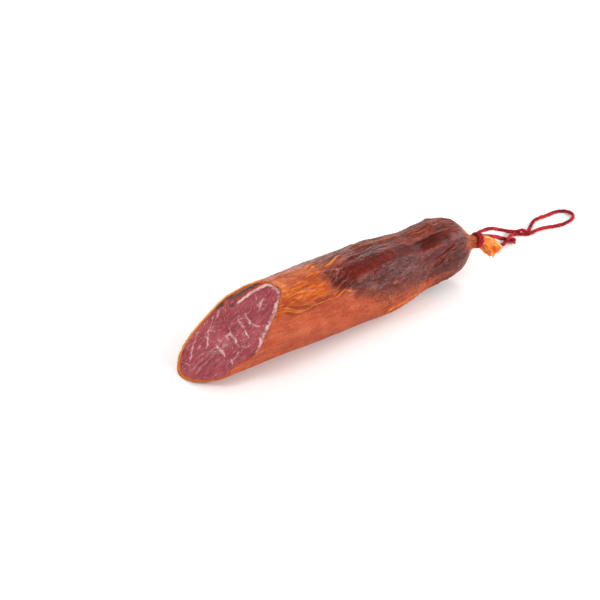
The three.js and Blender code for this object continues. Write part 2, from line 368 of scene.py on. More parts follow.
# winds plies round any route, thickens them unevenly and scatters fuzz on them
def twineTree():
    tree = bpy.data.node_groups.new("pliedTwine", "GeometryNodeTree")
    sockets = (("Geometry", "INPUT", "Geometry", None), ("Ply Radius", "INPUT", "Float", 0.0008),
               ("Lay Radius", "INPUT", "Float", 0.0007), ("Pitch", "INPUT", "Float", 0.009),
               ("Fuzz Density", "INPUT", "Float", 160000.0), ("Unevenness", "INPUT", "Float", 0.0011),
               ("Seed", "INPUT", "Int", 3), ("Material", "INPUT", "Material", None),
               ("Geometry", "OUTPUT", "Geometry", None))
    for title, way, kind, value in sockets:
        socket = tree.interface.new_socket(title, in_out=way, socket_type="NodeSocket" + kind)
        if value is not None:
            socket.default_value = value
    given = tree.nodes.new("NodeGroupInput").outputs
    route = addNode(tree, "GeometryNodeResampleCurve", {"Curve": given["Geometry"], "Length": 0.0005},
                    mode="LENGTH")
    length = addNode(tree, "GeometryNodeSplineParameter", output="Length")
    normal = addNode(tree, "GeometryNodeInputNormal")
    tangent = addNode(tree, "GeometryNodeInputTangent")
    sideways = addNode(tree, "ShaderNodeVectorMath", {0: tangent, 1: normal}, operation="CROSS_PRODUCT")
    wander = addNode(tree, "ShaderNodeTexNoise", {"Scale": 150.0, "Detail": 2.0})
    turns = addNode(tree, "ShaderNodeMath", {0: length, 1: given["Pitch"]}, operation="DIVIDE")
    plies = tree.nodes.new("GeometryNodeJoinGeometry")
    for k in range(twine["plies"]):
        start = 2 * math.pi * k / twine["plies"]
        angle = addNode(tree, "ShaderNodeMath", {0: turns, 1: 2 * math.pi, 2: start}, operation="MULTIPLY_ADD")
        # the twist wanders by up to a few radians, so the plies are never quite even
        angle = addNode(tree, "ShaderNodeMath", {0: wander, 1: 5.0, 2: angle}, operation="MULTIPLY_ADD")
        parts = []
        for operation, axis in (("COSINE", normal), ("SINE", sideways)):
            amount = addNode(tree, "ShaderNodeMath", {0: angle}, operation=operation)
            amount = addNode(tree, "ShaderNodeMath", {0: amount, 1: given["Lay Radius"]}, operation="MULTIPLY")
            parts.append(addNode(tree, "ShaderNodeVectorMath", {0: axis, "Scale": amount}, operation="SCALE"))
        offset = addNode(tree, "ShaderNodeVectorMath", {0: parts[0], 1: parts[1]}, operation="ADD")
        wound = addNode(tree, "GeometryNodeSetPosition", {"Geometry": route, "Offset": offset})
        # millimetres along the ply, each one starting elsewhere in the pattern of fibres
        along = addNode(tree, "ShaderNodeMath", {0: length, 1: 1000.0, 2: 37.0 * k}, operation="MULTIPLY_ADD")
        for title, value, kind in (("plyAlong", along, "FLOAT"), ("plyOut", offset, "FLOAT_VECTOR")):
            wound = addNode(tree, "GeometryNodeStoreNamedAttribute",
                            {"Geometry": wound, "Name": title, "Value": value}, data_type=kind)
        tree.links.new(wound, plies.inputs[0])
    ring = addNode(tree, "GeometryNodeCurvePrimitiveCircle", {"Resolution": 9, "Radius": given["Ply Radius"]})
    ringShare = addNode(tree, "GeometryNodeSplineParameter", output="Factor")
    ring = addNode(tree, "GeometryNodeStoreNamedAttribute",
                   {"Geometry": ring, "Name": "plyRound", "Value": ringShare}, data_type="FLOAT")
    body = addNode(tree, "GeometryNodeCurveToMesh",
                   {"Curve": plies.outputs[0], "Profile Curve": ring, "Fill Caps": True})
    kept = {title: addNode(tree, "GeometryNodeInputNamedAttribute", {"Name": title}, data_type=kind)
            for title, kind in (("plyAlong", "FLOAT"), ("plyRound", "FLOAT"), ("plyOut", "FLOAT_VECTOR"))}
    plyPlace = addNode(tree, "ShaderNodeCombineXYZ", {0: kept["plyAlong"], 1: kept["plyRound"]})
    # faces that look inwards, between the plies, are marked for painted shade there
    skinNormal = addNode(tree, "GeometryNodeInputNormal")
    outward = addNode(tree, "ShaderNodeVectorMath", {0: kept["plyOut"]}, operation="NORMALIZE")
    facing = addNode(tree, "ShaderNodeVectorMath", {0: skinNormal, 1: outward}, "Value",
                     operation="DOT_PRODUCT")
    plyShade = addNode(tree, "ShaderNodeMath", {0: 0.75, 1: facing}, operation="SUBTRACT", use_clamp=True)
    for title, value, kind in (("plyPlace", plyPlace, "FLOAT_VECTOR"), ("plyShade", plyShade, "FLOAT")):
        body = addNode(tree, "GeometryNodeStoreNamedAttribute",
                       {"Geometry": body, "Name": title, "Value": value}, data_type=kind)
    slub = addNode(tree, "ShaderNodeTexNoise", {"Scale": 260.0, "Detail": 3.0})
    slub = addNode(tree, "ShaderNodeMath", {0: slub, 1: -0.47}, operation="ADD")
    slub = addNode(tree, "ShaderNodeMath", {0: slub, 1: given["Unevenness"]}, operation="MULTIPLY")
    push = addNode(tree, "ShaderNodeVectorMath", {0: skinNormal, "Scale": slub}, operation="SCALE")
    body = addNode(tree, "GeometryNodeSetPosition", {"Geometry": body, "Offset": push})
    body = addNode(tree, "GeometryNodeSetShadeSmooth", {0: body})
    scatter = addNode(tree, "GeometryNodeDistributePointsOnFaces",
                      {"Mesh": body, "Density": given["Fuzz Density"], "Seed": given["Seed"]}).node.outputs
    # fuzz: short bent fibres 1.3 mm long and 0.1 mm thick
    hairLine = addNode(tree, "GeometryNodeCurvePrimitiveBezierSegment", {
        "Resolution": 3, "Start": (0, 0, -0.0002), "Start Handle": (0.0001, 0, 0.0004),
        "End Handle": (0.0006, 0.0001, 0.0006), "End": (0.0013, 0.0003, 0.0005)})
    hairRing = addNode(tree, "GeometryNodeCurvePrimitiveCircle", {"Resolution": 3, "Radius": 0.00005})
    hair = addNode(tree, "GeometryNodeCurveToMesh",
                   {"Curve": hairLine, "Profile Curve": hairRing, "Fill Caps": True})
    size = addNode(tree, "FunctionNodeRandomValue", {2: 0.35, 3: 1.15, "Seed": given["Seed"]}, 1,
                   data_type="FLOAT")
    spin = addNode(tree, "FunctionNodeRandomValue",
                   {0: (-0.4, -0.4, 0), 1: (0.4, 0.4, 6.28), "Seed": given["Seed"]}, data_type="FLOAT_VECTOR")
    turned = addNode(tree, "FunctionNodeEulerToRotation", {0: spin})
    turned = addNode(tree, "FunctionNodeRotateRotation", {0: scatter["Rotation"], 1: turned},
                     rotation_space="LOCAL")
    fuzz = addNode(tree, "GeometryNodeInstanceOnPoints",
                   {"Points": scatter["Points"], "Instance": hair, "Rotation": turned, "Scale": size})
    both = tree.nodes.new("GeometryNodeJoinGeometry")
    tree.links.new(body, both.inputs[0])
    tree.links.new(fuzz, both.inputs[0])
    whole = addNode(tree, "GeometryNodeRealizeInstances", {0: both.outputs[0]})
    dressed = addNode(tree, "GeometryNodeSetMaterial", {"Geometry": whole, "Material": given["Material"]})
    addNode(tree, "NodeGroupOutput", {0: dressed})
    return tree


cottonMaterial = dyedCotton()
windTwine = twineTree()


# a length of twine along a route of points in metres, as a plain mesh
def windAlong(name, points, values=None):
    curve = bpy.data.curves.new(name + "Route", "CURVE")
    curve.dimensions = "3D"
    spline = curve.splines.new("POLY")
    spline.points.add(len(points) - 1)
    spline.points.foreach_set("co", np.concatenate([points, np.ones((len(points), 1))], 1).ravel())
    route = addObject(name + "Route", curve)
    modifier = route.modifiers.new("Wind", "NODES")
    modifier.node_group = windTwine
    given = {"Ply Radius": twine["plyRadius"] / 1000, "Lay Radius": twine["layRadius"] / 1000,
             "Pitch": twine["pitch"] / 1000, "Material": cottonMaterial, **(values or {})}
    for item in windTwine.interface.items_tree:
        if item.in_out == "INPUT" and item.name in given:
            modifier[item.identifier] = given[item.name]
    bpy.context.view_layer.update()
    mesh = bpy.data.meshes.new_from_object(route.evaluated_get(bpy.context.evaluated_depsgraph_get()))
    mesh.name = name
    # fibres that would reach through the table lie flat on it instead
    co = np.empty(len(mesh.vertices) * 3)
    mesh.vertices.foreach_get("co", co)
    co[2::3] = np.maximum(co[2::3], twine["tableLift"] / 1000)
    mesh.vertices.foreach_set("co", co)
    mesh.update()
    piece = addObject(name, mesh)
    route.modifiers.clear()
    bpy.data.objects.remove(route)
    print(name, "faces", len(mesh.polygons))
    return piece


def routeLength(points):
    return float(np.linalg.norm(np.diff(points, axis=0), axis=1).sum())


print("winding the twine")
loopPath = toRow(throughPoints(twine["loop"]))
strandPath = toRow(throughPoints(twine["strand"]))
loopPiece = windAlong("hangingLoop", loopPath)
strandPiece = windAlong("lowerStrand", strandPath, twine["strandSizes"])

# a small overhand knot drawn tight: the strand turns nearly twice round itself
t = np.linspace(0, 1, 60)
knotTurn = 2 * math.pi * twine["knotTurns"] * t
knotPath = np.stack([twine["knotRadius"] * np.cos(knotTurn) + 0.35 * np.sin(2 * knotTurn),
                     twine["knotLength"] * (0.5 - t) + 0.3 * np.sin(3 * knotTurn),
                     0.1 + 0.95 * np.sin(knotTurn)], -1)
knotPiece = windAlong("strandKnot", toRow(knotPath + twine["knotAt"]), twine["knotSizes"])

# the tie: a tilted coil that moves along the neck
t = np.linspace(0, 1, 140)
tieAngle = (twine["tieEnd"] + 360 * twine["tieTurns"] * (1 - t)) * deg
tieLine = np.array(twine["tieFrom"]) * (1 - t[:, None]) + np.array(twine["tieTo"]) * t[:, None]
tieSide, tieUp = twine["tieRadius"] * np.cos(tieAngle), twine["tieRadius"] * np.sin(tieAngle)
tieTilt = twine["tieTilt"] * deg
tiePath = tieLine + np.stack([tieUp * math.sin(tieTilt), tieSide, tieUp * math.cos(tieTilt)], -1)
tiePiece = windAlong("neckTie", toRow(tiePath), twine["tieSizes"])

for piece, node in ((loopPiece, "hanging_loop"), (strandPiece, "lower_strand"),
                    (knotPiece, "strand_knot"), (tiePiece, "neck_tie")):
    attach(piece, "root")
    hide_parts(node)
print("cord lengths mm", round(routeLength(loopPath) * 1000, 1), round(routeLength(strandPath) * 1000, 1))


# Natural gut, dried on the loin and rubbed with paprika and oil: long drying wrinkles,
# thin creases with a painted highlight on top and painted shade below, dark where it dried hard, and a greasy
# half gloss.
casing = {
    "around": 440, "bodyRows": 168, "neckRows": 26, "tailAround": 300, "tailRows": 60,
    # wall of the gut, how far its hidden inner side lies under that, and mm for each degree round it
    "wall": 1.0, "innerDepth": 1.65, "mmPerDegree": 0.49,
    # shares of the length over which the surface settles behind the cut, and the oil fades
    "settle": 0.02, "oilReach": 0.006,
    # how far the hidden inner side stays off the table, in mm
    "innerLift": 1.1,
    # (x, angle) lines with height, width and drop of the lower side in mm; a negative height is a groove
    "creases": [
        ([(-47, 97), (-41, 100), (-33, 103), (-25, 100), (-16, 96), (-7, 88), (1, 84), (5, 78), (10, 72)],
         2.0, 1.5, 1.1),
        ([(-58, 92), (-47, 97), (-36, 97), (-24, 92), (-14, 88)], 0.5, 0.9, 0.3),
        ([(-34, 131), (-23, 127), (-18.5, 119.5), (-14, 114), (-6, 106), (2, 100)], 0.8, 0.7, 0.5),
        ([(-20, 110), (-6, 102), (6, 97.5), (20, 96), (30, 96.5), (45, 96.5), (54, 101)], 0.6, 1.1, 0.2),
        ([(42, 96), (52, 88), (60, 84), (72, 80)], 0.5, 0.8, 0.3),
        ([(14, 88), (28, 86), (42, 84), (54, 80)], 0.5, 0.9, 0.4),
        ([(48, 108), (58, 112.5), (67, 110), (80, 111), (92, 112.5), (100, 116), (109, 121)], 0.9, 0.8, 0.5),
        ([(-74, 129), (-65, 124.5), (-57, 124), (-50, 125), (-44, 127), (-39, 130), (-30, 131)], 0.9, 0.8, 0.7),
        ([(-70, 118), (-60, 116), (-48, 117), (-38, 121)], 0.35, 0.8, 0.25),
        ([(-68, 139), (-59, 143), (-54, 144.5), (-49, 149), (-41, 152)], 0.8, 0.7, 0.6),
        ([(-56, 139), (-47, 140), (-40, 137.5), (-31, 139), (-25, 139), (-17, 134), (-9, 131)], 0.95, 0.7, 0.7),
        ([(-82, 139), (-68, 146), (-61, 152), (-56, 151), (-51, 147), (-45, 143)], 0.7, 0.7, 0.6),
        ([(-50, 151), (-38, 154), (-33, 152.5), (-26, 149), (-18, 144), (-13, 139)], 0.65, 0.7, 0.5),
        ([(-16, 137), (-8, 124), (-2, 122)], 0.45, 0.5, 0.25),
        ([(-3, 121), (4, 113), (10, 110)], 0.35, 0.5, 0.2),
        ([(-15, 134), (-5, 129), (5, 126)], 0.45, 0.5, 0.3),
        ([(0, 150), (6, 147), (14, 146), (22, 148)], 0.6, 0.6, 0.4),
        ([(-2, 156), (6, 153), (14, 152), (24, 156), (27, 154.4), (32, 152.7), (37, 149), (45, 146)],
         0.7, 0.55, 0.5),
        ([(30, 161), (42, 158), (52, 154), (60, 150)], 0.45, 0.6, 0.3),
        ([(46, 165.5), (55, 164.5), (60, 167), (69, 172)], 0.55, 0.6, 0.3),
        ([(72, 179), (78, 170), (84, 162), (92, 155), (98, 151), (110, 147)], 1.0, 0.9, 0.3),
        ([(84, 176), (90, 168), (98, 163), (106, 160)], 0.6, 0.7, 0.5),
        ([(80, 188), (90, 180), (100, 174), (108, 170)], 0.6, 0.7, 0.5),
        ([(4, 163), (12, 165), (22, 168), (33, 170.5), (41, 167), (52, 162)], -0.8, 0.8, 0),
        ([(50, 182), (56, 187), (60, 192), (66, 199), (70, 210)], -1.9, 1.8, 0),
        ([(60, 196), (68, 188), (76, 183), (84, 178)], -0.7, 1.2, 0),
        ([(94, 92), (100, 101), (106, 108)], -0.8, 1.2, 0),
        ([(-70, 134), (-60, 133), (-50, 135), (-40, 134), (-28, 130)], 0.7, 0.6, 0.6),
        ([(-62, 112), (-52, 110), (-42, 112), (-34, 116)], 0.5, 0.6, 0.4),
        ([(-56, 105), (-46, 106), (-36, 110), (-26, 112)], 0.5, 0.6, 0.4),
        ([(-36, 122), (-28, 120), (-20, 115)], 0.6, 0.6, 0.5),
        ([(-52, 158), (-40, 160), (-28, 158), (-14, 153)], 0.3, 0.6, 0.3),
        ([(62, 92), (70, 95), (80, 97), (90, 98), (98, 103)], 0.8, 0.9, 0.6),
        ([(56, 86), (66, 88), (78, 89), (90, 90)], 0.7, 0.8, 0.5),
        ([(-6, 92), (8, 90), (22, 90), (36, 90)], 0.6, 0.7, 0.4),
        ([(66, 158), (76, 160), (86, 158), (96, 157)], 0.6, 0.7, 0.5),
        ([(60, 176), (70, 180), (80, 180), (90, 182)], 0.6, 0.7, 0.5),
    ],
    # folds whose lower side turns down sharply: line, height, reach in mm
    "breaks": [
        ([(-10, 134), (5, 133), (20, 132), (40, 131), (50, 135), (58, 136), (66, 139), (74, 136),
          (84, 140), (94, 147)], 0.9, 8.0),
        ([(-46, 99), (-33, 104), (-24, 102), (-14, 98), (-4, 90)], 0.5, 4.0),
    ],
    # wrinkles from broad to thread-fine: length and width in mm, share of the drift, seed, sharpness
    "wrinkles": [(40, 7.5, 1.0, 22, 2.6), (20, 3.6, 1.1, 23, 2.4), (8.5, 1.7, 1.2, 24, 1.8),
                 (5.5, 0.95, 1.3, 28, 1.6)],
    "deepest": 1.7,  # mm
    # patches: x, angle, half length in mm, half width in degrees, power, lean, strength
    "crumples": [(38, 141, 24, 9.5, 4, 0.05, 1.0), (80, 95, 27, 14, 4, 0, 0.9), (92, 170, 15, 15, 4, 0, 1.0)],
    "stains": [(67, 168, 14, 15, 2, 0, 0.6), (-10, 162, 16, 11, 2, 0, 0.3)],
    # the bloom patches are painted greyish sheen, where highlights fall
    "paintedSheens": [(26, 148, 38, 17, 4, 0.1, 1.0), (67, 145, 11, 7, 2, 0, 0.9), (104, 136, 11, 12, 4, 0, 1.1)],
    # low mounds: x, angle, half length, half width in mm, height
    "mounds": [
        (-23, 108, 6, 3.2, 0.7), (-9, 103, 5, 2.2, 0.5), (67, 146, 11, 5, 1.0), (103, 137, 9, 7, 0.9),
        (52, 139, 4, 3.5, 0.6), (24, 140, 5, 4, 0.5), (39, 141, 4, 4, 0.5), (-46, 129, 6, 2, 0.35),
        (88, 96, 9, 5, 0.6), (70, 88, 8, 5, 0.5), (20, 78, 14, 5, 0.6),
    ],
}


# degrees round the loin: 0 behind, 90 on top, 180 in front, and the step from 270 to -90 underneath
def degreesRound(a):
    return (a / deg + 90) % 360 - 90


# how the wrinkles drift round the loin as they run along it
def drying(x, back):
    low = np.interp(x, [-84, -56, -30, -8, 10], [0, 12, 11, 0, 0])
    high = np.interp(x, [-62, -35, -33, 12, 40], [0, 10, 9, -20, -20])
    end = np.interp(x, [60, 84, 112], [0, -14, -26])
    lower = between(back, 106, 118, 160, 175)
    upper = between(back, 55, 75, 98, 108)
    far = between(back, 140, 158, 195, 215)
    return -(low * lower + high * upper + end * far) * deg


# height of the dried surface in mm, the painted highlight on crests with the oily skin behind the cut, and the
# painted shade in valleys with the far dark band
def relief(x, a):
    m = casing["mmPerDegree"]
    back = degreesRound(a)
    y = back * m
    drift = 0.10 * skinNoise(11, x, a, 46, 26) + 0.05 * skinNoise(12, x, a, 15, 9) + drying(x, back)
    # how wrinkled each side is: the dark band and the near underside stay smoother
    bandTop = np.interp(x, [-20, 0, 45, 60, 90, 110], [112, 100, 100, 112, 114, 122])
    bandLow = np.interp(x, [-20, 0, 45, 60, 80, 95, 110], [124, 133, 130, 137, 140, 150, 150])
    band = smooth(x, -18, -4) * between(back, bandTop - 3, bandTop + 2, bandLow - 2, bandLow + 3)
    calm = between(x, 56, 66, 84, 96) * between(back, 132, 140, 152, 160)
    under = between(back, 150, 158, 240, 262) * (1 - smooth(x, -14, 30))
    fresh = between(back, 78, 86, 118, 126) * (1 - smooth(x, -48, -30))
    busy = np.clip(1 - 0.92 * band - 0.8 * under - 0.45 * fresh - 0.8 * calm, 0.06, 1)
    h = 0.8 * skinNoise(21, x, a, 62, 15, drift) * (0.4 + 0.6 * busy)
    broad, middle, fine, thread = [ridged(skinCells(x, a, along, across, drift * share), seed, sharp)
                                   for along, across, share, seed, sharp in casing["wrinkles"]]
    patch = smooth(skinNoise(25, x, a, 30, 12), -0.3, 0.4)
    h += busy * (0.8 * (broad - 0.3) + 0.85 * (middle - 0.3) * (0.4 + 0.6 * patch)
                 + 0.55 * (fine - 0.35) * (0.5 + 0.5 * patch))
    h += 0.24 * (thread - 0.4) * (0.2 + 0.8 * busy)
    # crumpled patches: short folds that cross at an angle
    slant = ridged(np.stack([(x + 1.3 * y) / 3.6, (y - 0.5 * x) / 2.3, 0.2 * x / 10], -1), 26, 1.7)
    short = ridged(np.stack([x / 2.4, y / 2.0, 0 * x + 4.5], -1), 27, 1.5)
    folds = np.clip(sum(strength * spot(x, back, *place) for *place, strength in casing["crumples"]), 0, 1)
    h += folds * (0.72 * (slant - 0.4) + 0.42 * (short - 0.4))
    # the whole far half has a fine leathery grain
    h += 0.1 * smooth(x, -24, 0) * (short - 0.4) * busy
    for cx, ca, long, wide, height in casing["mounds"]:
        h += height * np.exp(-((x - cx) / long) ** 2 - ((back - ca) * m / wide) ** 2)
    highlightAndOil, shadeAndDarkBand = np.zeros_like(x), np.zeros_like(x)
    for line, height, width, drop in casing["creases"]:
        d, side, share = fromLine(x, y + 0.5 * skinNoise(32, x, a, 5, 5), line, m)
        w = 0.8 * width * (1 + 0.4 * skinNoise(31, x, a, 6, 6))
        ends = between(share, 0, 0.2, 0.78, 1) * (0.72 + 0.5 * skinNoise(34, x, a, 9, 30)).clip(0.15, 1)
        body = np.exp(-(d / w) ** 2) * ends
        low = np.exp(-((side * d - 2.0 * w) / (1.2 * w)) ** 2) * ends
        h += 0.8 * (height * body - drop * low)
        # a fold's crest gets a painted highlight and its lower side painted shade; a groove is painted shade all
        # along
        if height > 0:
            highlightAndOil = np.maximum(highlightAndOil, body * min(0.74, 0.34 + height * 0.42))
            shadeAndDarkBand = np.maximum(shadeAndDarkBand, low * min(1, drop * 0.9))
        else:
            shadeAndDarkBand = np.maximum(shadeAndDarkBand, np.exp(-(d / (0.9 * w)) ** 2) * ends)
    for line, height, reachOf in casing["breaks"]:
        d, side, share = fromLine(x, y + 0.7 * skinNoise(33, x, a, 6, 6), line, m)
        ends = between(share, 0, 0.1, 0.9, 1)
        h += height * ends * np.clip(1 - d / reachOf, 0, 1) ** 1.4
    # folds that gather into the neck
    pull = smooth(x, 98, 122)
    pleatDrift = drift * (1 - pull) + 0.05 * skinNoise(42, x, a, 12, 6)
    pleat = ridged(skinCells(x, a, 46, 4.0, pleatDrift), 41, 1.4)
    size = sectionValue(np.minimum(x, loin["sections"][-1][0]), 2) / 25
    h = h * (1 - pull) + pull * (pleat - 0.45) * 2.2 * np.clip(size, 0.24, 1) ** 0.85
    # deep valleys are held back, so that the hidden inner side never shows through them
    h = np.maximum(np.where(h < -0.8, 0.55 * h - 0.36, h), -casing["deepest"])
    # painted highlight on wrinkle crests and on the pleats at the neck, painted shade in the valleys between
    # them
    thin = busy * (1 - 0.6 * folds)
    crests = np.maximum(broad - 0.66, 0) * 1.9 + np.maximum(middle - 0.72, 0) * 1.7 * patch
    highlightAndOil = np.maximum(highlightAndOil, thin * crests)
    highlightAndOil = np.maximum(highlightAndOil, pull * np.maximum(pleat - 0.5, 0) * 1.5)
    valleys = np.maximum(0.32 - fine, 0) * 1.9 * (0.3 + 0.7 * patch)
    shadeAndDarkBand = np.maximum(shadeAndDarkBand, busy * (np.maximum(0.24 - middle, 0) * 2.6 * patch + valleys))
    shadeAndDarkBand = np.maximum(shadeAndDarkBand, 0.7 * (0.3 + 0.7 * busy) * np.maximum(0.26 - thread, 0) * 2.2)
    highlightAndOil = np.maximum(highlightAndOil, busy * np.maximum(fine - 0.68, 0) * 1.7 * patch)
    shadeAndDarkBand = np.maximum(shadeAndDarkBand, folds * np.maximum(0.32 - slant, 0) * 2.2)
    # the band at the far half is darkest, and the oily skin behind the cut brightest
    shadeAndDarkBand = np.maximum(shadeAndDarkBand, 0.66 * between(x, 30, 46, 88, 100) * between(back, 104, 116, 128, 138))
    highlightAndOil = np.maximum(highlightAndOil, 0.45 * between(back, 86, 94, 112, 124) * (1 - smooth(x, -66, -44)))
    # the strip that lies on the table stays plain
    rest = smooth(skinPoint(x, a)[:, 2], 0.3, 5)
    return h * rest, np.clip(highlightAndOil, 0, 1), np.clip(shadeAndDarkBand, 0, 1)


# zones: where the skin is orange, where it dried dark and where it is mottled;
# neck and sheen: where it is bare at the neck and where a painted sheen lies on it, with a zero to fill the
# vector
def colourZones(x, a):
    back = degreesRound(a)
    away = smooth(np.abs(back - 125), 62, 95)
    wx = x + (9 + 11 * away) * skinNoise(51, x, a, 22, 11) + (3.5 + 6 * away) * skinNoise(52, x, a, 8, 4)
    wa = back + 5 * skinNoise(53, x, a, 26, 9) + 3.5 * skinNoise(54, x, a, 7, 3.5)
    start = np.interp(back, [-60, 30, 60, 74, 80, 90, 100, 108, 116, 124, 134, 150, 165, 185, 205, 240],
                      [-66, -52, -36, -34, -22, -4, -8, -19, -21, -20, -18, -22, -16, 36, 90, 60])
    dark = smooth(wx - start, -13 - 10 * away, 13 + 18 * away)
    bandTop = np.interp(x, [-20, 0, 45, 60, 90, 110], [108, 98, 98, 110, 113, 122])
    band = between(wa, bandTop - 4, bandTop + 5, 146, 158)
    brown = (1 - band) * between(wa, 40, 60, bandTop, bandTop + 4)
    lowEdge = np.interp(x, [-20, 0, 30, 60, 84, 96, 110], [142, 158, 160, 166, 186, 196, 204])
    blur = wa + 9 * skinNoise(56, x, a, 11, 4.5) + 5 * skinNoise(57, x, a, 4, 1.8)
    low = smooth(blur, lowEdge - 16, lowEdge + 16) * (1 - smooth(back, 232, 252))  # salmon side
    dark = dark * (1 - low * np.interp(x, [-20, 40, 60], [0.66, 0.6, 0.4])) * (1 - 0.42 * brown)
    for *place, strength in casing["stains"]:
        dark = np.maximum(dark, strength * spot(wx, wa, *place))
    orange = between(wa, 74, 86, 126, 154) * (1 - smooth(wx, -42, -2))
    mottle = smooth(wx, -14, 16) * np.exp(-(np.abs(wa - lowEdge - 12) / 34) ** 3)
    hiddenSide = np.maximum(smooth(back, 215, 240), 1 - smooth(back, 20, 50))
    mottle = np.maximum(mottle, 0.7 * smooth(wx, -60, 0) * hiddenSide)
    neck = smooth(x + 3 * skinNoise(55, x, a, 8, 4), 110, 121)
    # painted greyish sheen where highlights fall: on the crumpled part, the smooth fold below it, the shoulder
    # and the top, and paler on the orange and the lower side
    paintedSheen = np.zeros_like(x)
    for *place, strength in casing["paintedSheens"]:
        paintedSheen = np.maximum(paintedSheen, strength * spot(x, back, *place))
    paintedSheen = np.maximum(paintedSheen, 0.75 * (1 - smooth(back, 74, 90)) * smooth(back, 30, 55))
    paintedSheen = np.maximum(paintedSheen, 0.5 * orange + 0.3 * smooth(wa, 145, 165) * smooth(x, 10, 60))
    return np.stack([orange, dark, mottle], -1), np.stack([neck, paintedSheen, np.zeros_like(paintedSheen)], -1)


print("shaping the casing")
around = casing["around"]
turn = np.arange(around) * 2 * math.pi / around
# rows lie closer together behind the cut
ticks = np.linspace(0, 1, 2001)
density = 1 + 1.5 * np.exp(-(ticks / casing["settle"]) ** 2)
run = np.concatenate([[0], np.cumsum((density[1:] + density[:-1]) / 2)])
shares = np.interp(np.linspace(0, run[-1], casing["bodyRows"]), run, ticks)

edgeX = cutAt(turn)
for step in range(4):
    edgeProud = relief(edgeX, turn)[0] * 0.5
    edgeX = cutAt(turn, edgeProud)
edgeZones = colourZones(edgeX, turn)[0]
skinRows = {"points": [], "highlightAndOil": [], "shadeAndDarkBand": [], "zones": [], "neckAndSheen": []}


def addRow(points, highlightAndOil, shadeAndDarkBand, zones, neckAndSheen):
    for title, values in zip(skinRows, (points, highlightAndOil, shadeAndDarkBand, zones, neckAndSheen)):
        skinRows[title].append(values)


# paprika oil gathers on the far edge of the cut and hardly at all along the fat
fatSide = np.exp(-(degreesFrom(turn, 130) / 52) ** 4)
edgeGlow = (0.36 + 0.56 * np.exp(-(degreesFrom(turn, 5) / 55) ** 2)) * (1 - 0.85 * fatSide)
wallAt = casing["wall"] * (1 + 0.6 * np.exp(-(degreesFrom(turn, 5) / 70) ** 2) - 0.35 * fatSide)
none, noNeckAndSheen = np.zeros(around), np.zeros((around, 3))
# hidden inner side: a rounded end past the meat, then back along the meat to the cut
domeAngles = (22, 44, 64, 80)
meatShares = (0.012, 0.03, 0.08, 0.3, 0.5, 0.6, 0.7, 0.76, 0.81, 0.86, 0.92, 1)
for t in domeAngles[::-1]:
    p = skinPoint(np.full(around, loin["meatEnd"]), turn, -2.6, 1.2, math.cos(t * deg))
    p[:, 0] = loin["meatEnd"] + (loin["meatDome"] + 0.6) * math.sin(t * deg)
    addRow(p, none, none, edgeZones, noNeckAndSheen)
for s in meatShares[::-1]:
    hide = 1 - math.exp(-s / casing["settle"])
    x = edgeX + (loin["meatEnd"] - edgeX) * s
    sunk = (edgeProud - wallAt) * (1 - hide) - (casing["wall"] + casing["innerDepth"]) * hide
    addRow(skinPoint(x, turn, sunk, casing["innerLift"]), none, none, edgeZones, noNeckAndSheen)
# rounded rim at the cut, a little uneven where the knife dragged the gut
ragged = 0.15 + 0.3 * skinNoise(61, none, turn, 9, 2.2) + 0.15 * skinNoise(62, none, turn, 9, 0.9)
rimZones = np.stack([np.maximum(edgeZones[:, 0], 1 - fatSide), edgeZones[:, 1] * 0.3, none], -1)
for share, out in ((1.0, 0.0), (0.8, 0.7), (0.5, 1.0), (0.2, 0.75)):
    proud, lift = edgeProud - wallAt * share, casing["innerLift"] * share
    p = skinPoint(cutAt(turn, proud, lift), turn, proud, lift)
    p[:, 0] -= ragged * out
    p[:, 2] += ragged * out * 0.6
    addRow(p, edgeGlow, none, rimZones, noNeckAndSheen)
# the skin that shows, from the cut to the neck
for s in shares:
    x = edgeX + (loin["bodyEnd"] - edgeX) * s
    h, highlightAndOil, shadeAndDarkBand = relief(x, turn)
    hold = math.exp(-s / casing["settle"])
    h = h * (1 - hold) + edgeProud * hold
    highlightAndOil = np.maximum(highlightAndOil, edgeGlow * math.exp(-s / casing["oilReach"]))
    addRow(skinPoint(x, turn, h), highlightAndOil, shadeAndDarkBand, *colourZones(x, turn))
for x in np.linspace(loin["bodyEnd"] + 0.9, loin["neckEnd"], casing["neckRows"]):
    xs = np.full(around, x)
    h, highlightAndOil, shadeAndDarkBand = relief(xs, turn)
    addRow(skinPoint(xs, turn, h), highlightAndOil, shadeAndDarkBand, *colourZones(xs, turn))


# the tail past the twine: pleats open into a ruffled, hollow end
tail = np.array(loin["tail"], float)
knots = np.concatenate([[0], np.cumsum(np.linalg.norm(np.diff(tail[:, :3], axis=0), axis=1))])


# one ring of the tail, `where` mm along it, and how much painted highlight each pleat crest gets
def tailRow(where, shrink=1.0):
    cx, cy, cz, droop, wide, high, depth = [np.interp(where, knots, tail[:, c]) for c in range(7)]
    xs = np.full_like(turn, 130 + where)
    flare = smooth(where, 6, 20)
    fold = ridged(skinCells(xs * (1 - flare * 0.6), turn, 40, 3.6), 41, 1.4) - 0.45
    crumb = skinNoise(45, xs, turn, 3.5, 2.6)
    wave = skinNoise(43, xs, turn, 16, 9.0)
    r = shrink * (1 + (1.25 * depth * fold + 1.4 * flare * wave + 0.35 * flare * crumb) / wide)
    side, up = wide * r * np.cos(turn), high * r * np.sin(turn)
    ripple = flare * (1.6 * skinNoise(44, xs * 0, turn, 9, 6.0) + 0.6 * skinNoise(46, xs * 0, turn, 9, 2.4))
    c, s = math.cos(droop * deg), math.sin(droop * deg)
    ring = np.stack([cx + up * s + ripple * c, cy + side, cz + up * c - ripple * s], -1)
    return ring, np.clip(fold * 1.7 + 0.2 * crumb, 0, 1)


